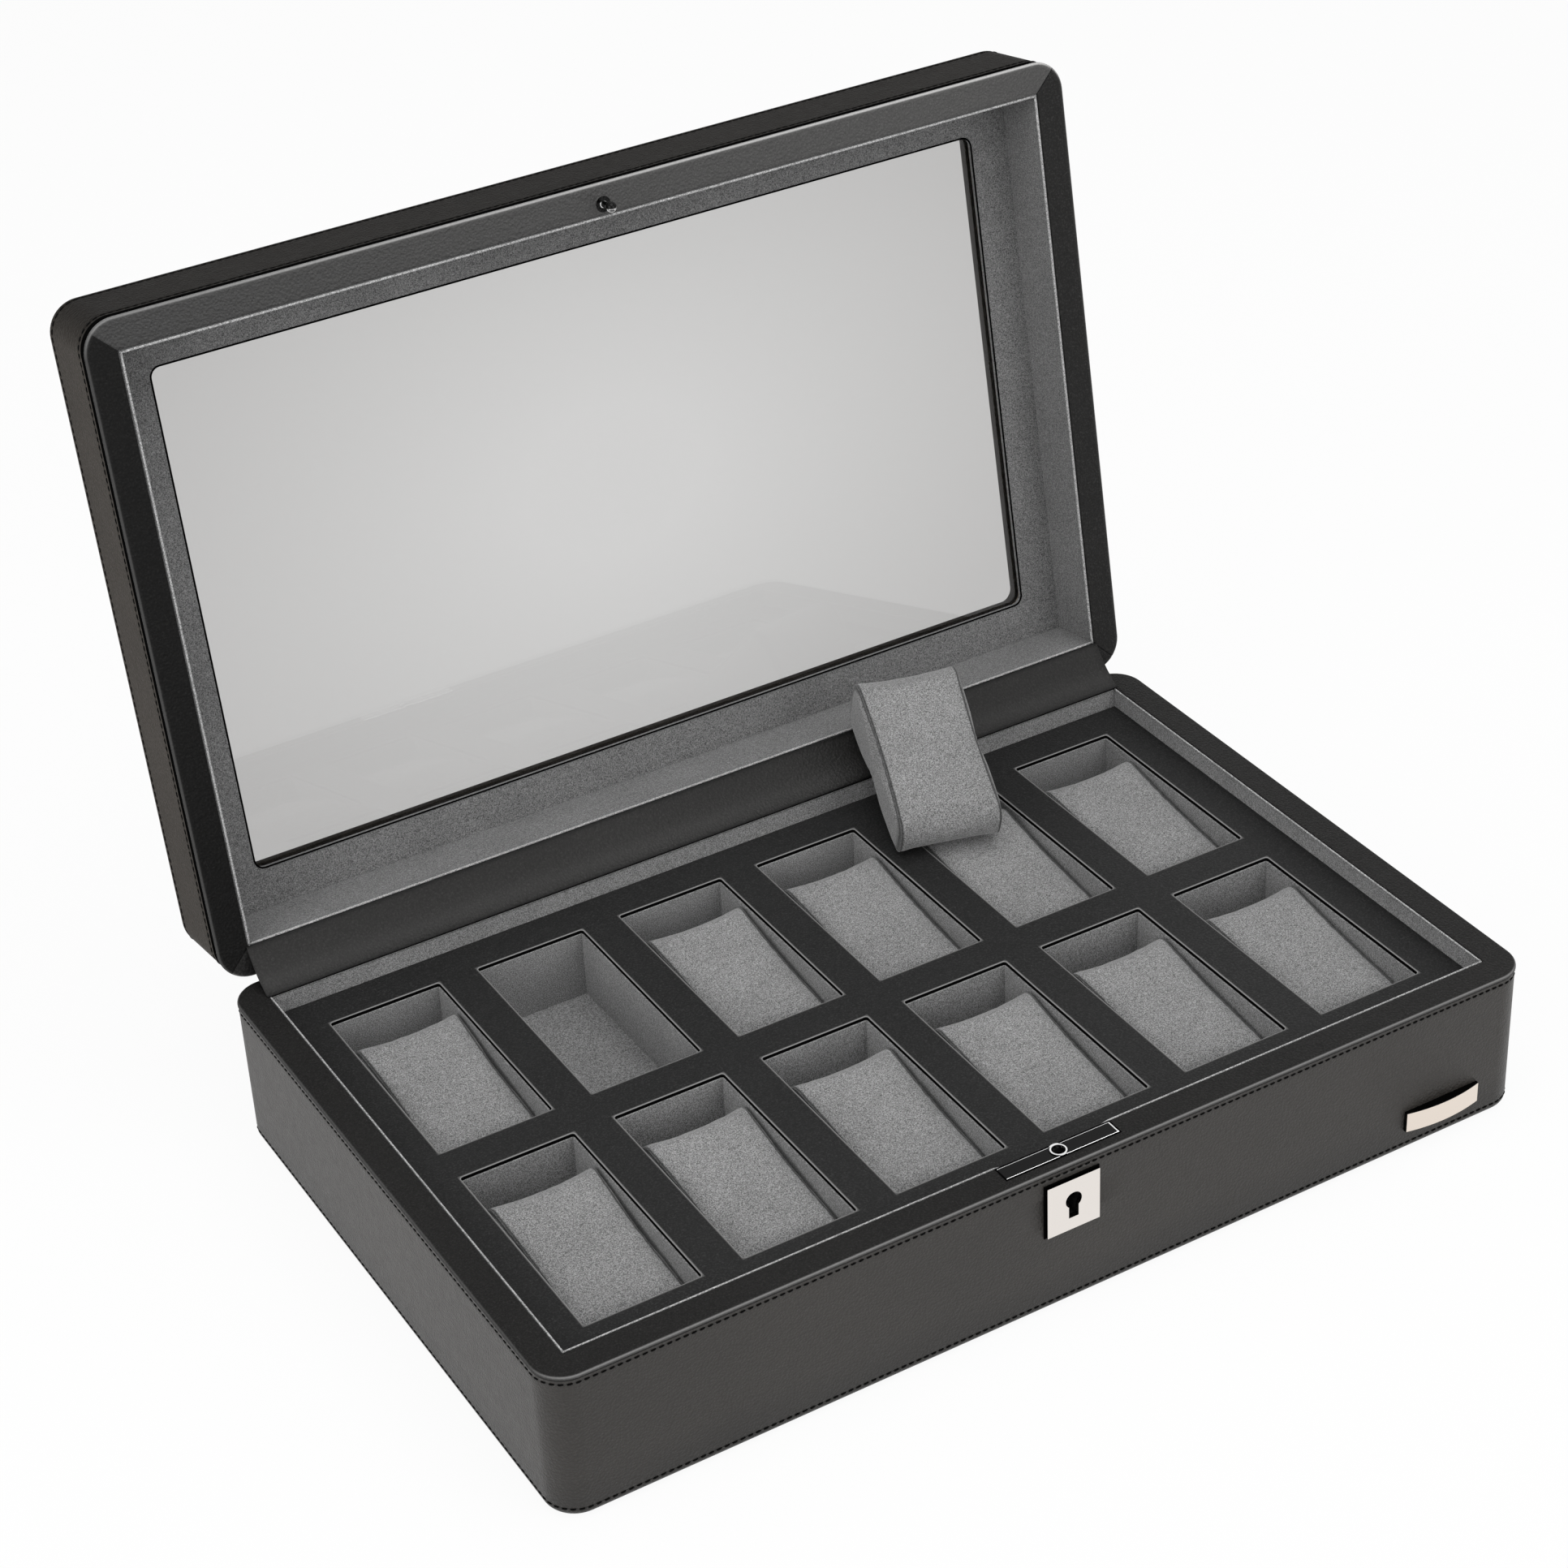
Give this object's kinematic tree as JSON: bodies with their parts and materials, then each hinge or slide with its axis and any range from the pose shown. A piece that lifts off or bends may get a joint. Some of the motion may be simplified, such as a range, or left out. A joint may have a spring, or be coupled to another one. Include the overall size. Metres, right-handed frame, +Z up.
{
  "type": "watch box",
  "caption": "Leather-covered watch box with a hinged glass lid, suede-lined compartments holding wedge cushions, and a front lock with a ball catch.",
  "frame": {"origin": "centre of the underside of the base, on the face of the underside pad", "axes": "+X to the right, along the two rows; +Y to the back, towards the hinge; +Z up"},
  "size_m": [0.399, 0.3389, 0.312],
  "materials": {
    "leather": "smooth fine-grained black leather, low sheen",
    "suede": "grey suede lining",
    "cushion_suede": "grey suede over foam",
    "pad": "black felt",
    "board": "raw board",
    "glass": "clear polished glass",
    "gasket": "matt black",
    "chrome": "polished",
    "steel": "satin"
  },
  "bodies": {
    "base": {"underside_pad": "pad", "bottom_board": "board", "base_front_panel": "board", "base_rear_panel": "board", "base_left_panel": "board", "base_right_panel": "board", "base_leather_wrap": "leather", "base_rim": "leather", "floor_battens": "board", "tray_false_floor": "board", "compartment_floor_lining": "suede", "tray_liner_strips": "suede", "edge_blocks": "suede", "long_divider": "suede", "rear_cross_dividers": "suede", "front_cross_dividers": "suede", "tray_plate": "leather", "lock_case": "steel", "lock_top_plate": "chrome", "escutcheon": "chrome", "name_plate": "chrome", "hinge_base_leaves": "steel", "hinge_pins": "steel", "hinge_base_screws": "steel", "hinge_strip": "leather"},
    "lid": {"lid_front_panel": "board", "lid_rear_panel": "board", "lid_left_panel": "board", "lid_right_panel": "board", "lid_top_frame": "board", "lid_leather_wrap": "leather", "lid_rim": "leather", "lid_wall_liner": "suede", "lid_glass_frame": "suede", "glass_gasket": "gasket", "glass_pane": "glass", "catch_plate": "chrome", "catch_pin": "chrome", "hinge_lid_leaves": "steel", "hinge_lid_screws": "steel"},
    "lock_cam": {"lock_cam": "steel"},
    "lock_bolt": {"lock_bolt": "steel"},
    "cushion_rear_1": {"cushion_rear_1": "cushion_suede"},
    "cushion_rear_3": {"cushion_rear_3": "cushion_suede"},
    "cushion_rear_4": {"cushion_rear_4": "cushion_suede"},
    "cushion_rear_5": {"cushion_rear_5": "cushion_suede"},
    "cushion_rear_6": {"cushion_rear_6": "cushion_suede"},
    "cushion_front_1": {"cushion_front_1": "cushion_suede"},
    "cushion_front_2": {"cushion_front_2": "cushion_suede"},
    "cushion_front_3": {"cushion_front_3": "cushion_suede"},
    "cushion_front_4": {"cushion_front_4": "cushion_suede"},
    "cushion_front_5": {"cushion_front_5": "cushion_suede"},
    "cushion_front_6": {"cushion_front_6": "cushion_suede"},
    "loose_cushion": {"loose_cushion": "cushion_suede"}
  },
  "joints": [
    {"name": "lid_hinge", "type": "hinge", "parent": "base", "child": "lid", "pos_m": [0, 0.127, 0.063], "axis": [1, 0, 0], "range_deg": [0, 100], "deforming": ["hinge_strip"]},
    {"name": "key_cam_turn", "type": "hinge", "parent": "base", "child": "lock_cam", "pos_m": [0, -0.1183, 0.0469], "axis": [0, 1, 0], "range_deg": [0, 45]},
    {"name": "bolt_slide", "type": "slide", "parent": "base", "child": "lock_bolt", "axis": [1, 0, 0], "range_m": [0, 0.0042]},
    {"name": "cushion_rear_1_lift", "type": "slide", "parent": "base", "child": "cushion_rear_1", "axis": [0, 0, -1], "range_m": [-0.035, 0]},
    {"name": "cushion_rear_3_lift", "type": "slide", "parent": "base", "child": "cushion_rear_3", "axis": [0, 0, -1], "range_m": [-0.035, 0]},
    {"name": "cushion_rear_4_lift", "type": "slide", "parent": "base", "child": "cushion_rear_4", "axis": [0, 0, -1], "range_m": [-0.035, 0]},
    {"name": "cushion_rear_5_lift", "type": "slide", "parent": "base", "child": "cushion_rear_5", "axis": [0, 0, -1], "range_m": [-0.035, 0]},
    {"name": "cushion_rear_6_lift", "type": "slide", "parent": "base", "child": "cushion_rear_6", "axis": [0, 0, -1], "range_m": [-0.035, 0]},
    {"name": "cushion_front_1_lift", "type": "slide", "parent": "base", "child": "cushion_front_1", "axis": [0, 0, -1], "range_m": [-0.035, 0]},
    {"name": "cushion_front_2_lift", "type": "slide", "parent": "base", "child": "cushion_front_2", "axis": [0, 0, -1], "range_m": [-0.035, 0]},
    {"name": "cushion_front_3_lift", "type": "slide", "parent": "base", "child": "cushion_front_3", "axis": [0, 0, -1], "range_m": [-0.035, 0]},
    {"name": "cushion_front_4_lift", "type": "slide", "parent": "base", "child": "cushion_front_4", "axis": [0, 0, -1], "range_m": [-0.035, 0]},
    {"name": "cushion_front_5_lift", "type": "slide", "parent": "base", "child": "cushion_front_5", "axis": [0, 0, -1], "range_m": [-0.035, 0]},
    {"name": "cushion_front_6_lift", "type": "slide", "parent": "base", "child": "cushion_front_6", "axis": [0, 0, -1], "range_m": [-0.035, 0]},
    {"name": "loose_cushion_tip", "type": "hinge", "parent": "cushion_rear_5", "child": "loose_cushion", "pos_m": [0.077, 0.0712, 0.0648], "axis": [0.9659, -0.2588, 0], "range_deg": [0, 150]}
  ],
  "couplings": [
    {"joint": "key_cam_turn", "follows": "bolt_slide", "rad_per_m": 186.81},
    {"joint": "loose_cushion_tip", "follows": "lid_hinge", "ratio": 1.5}
  ]
}
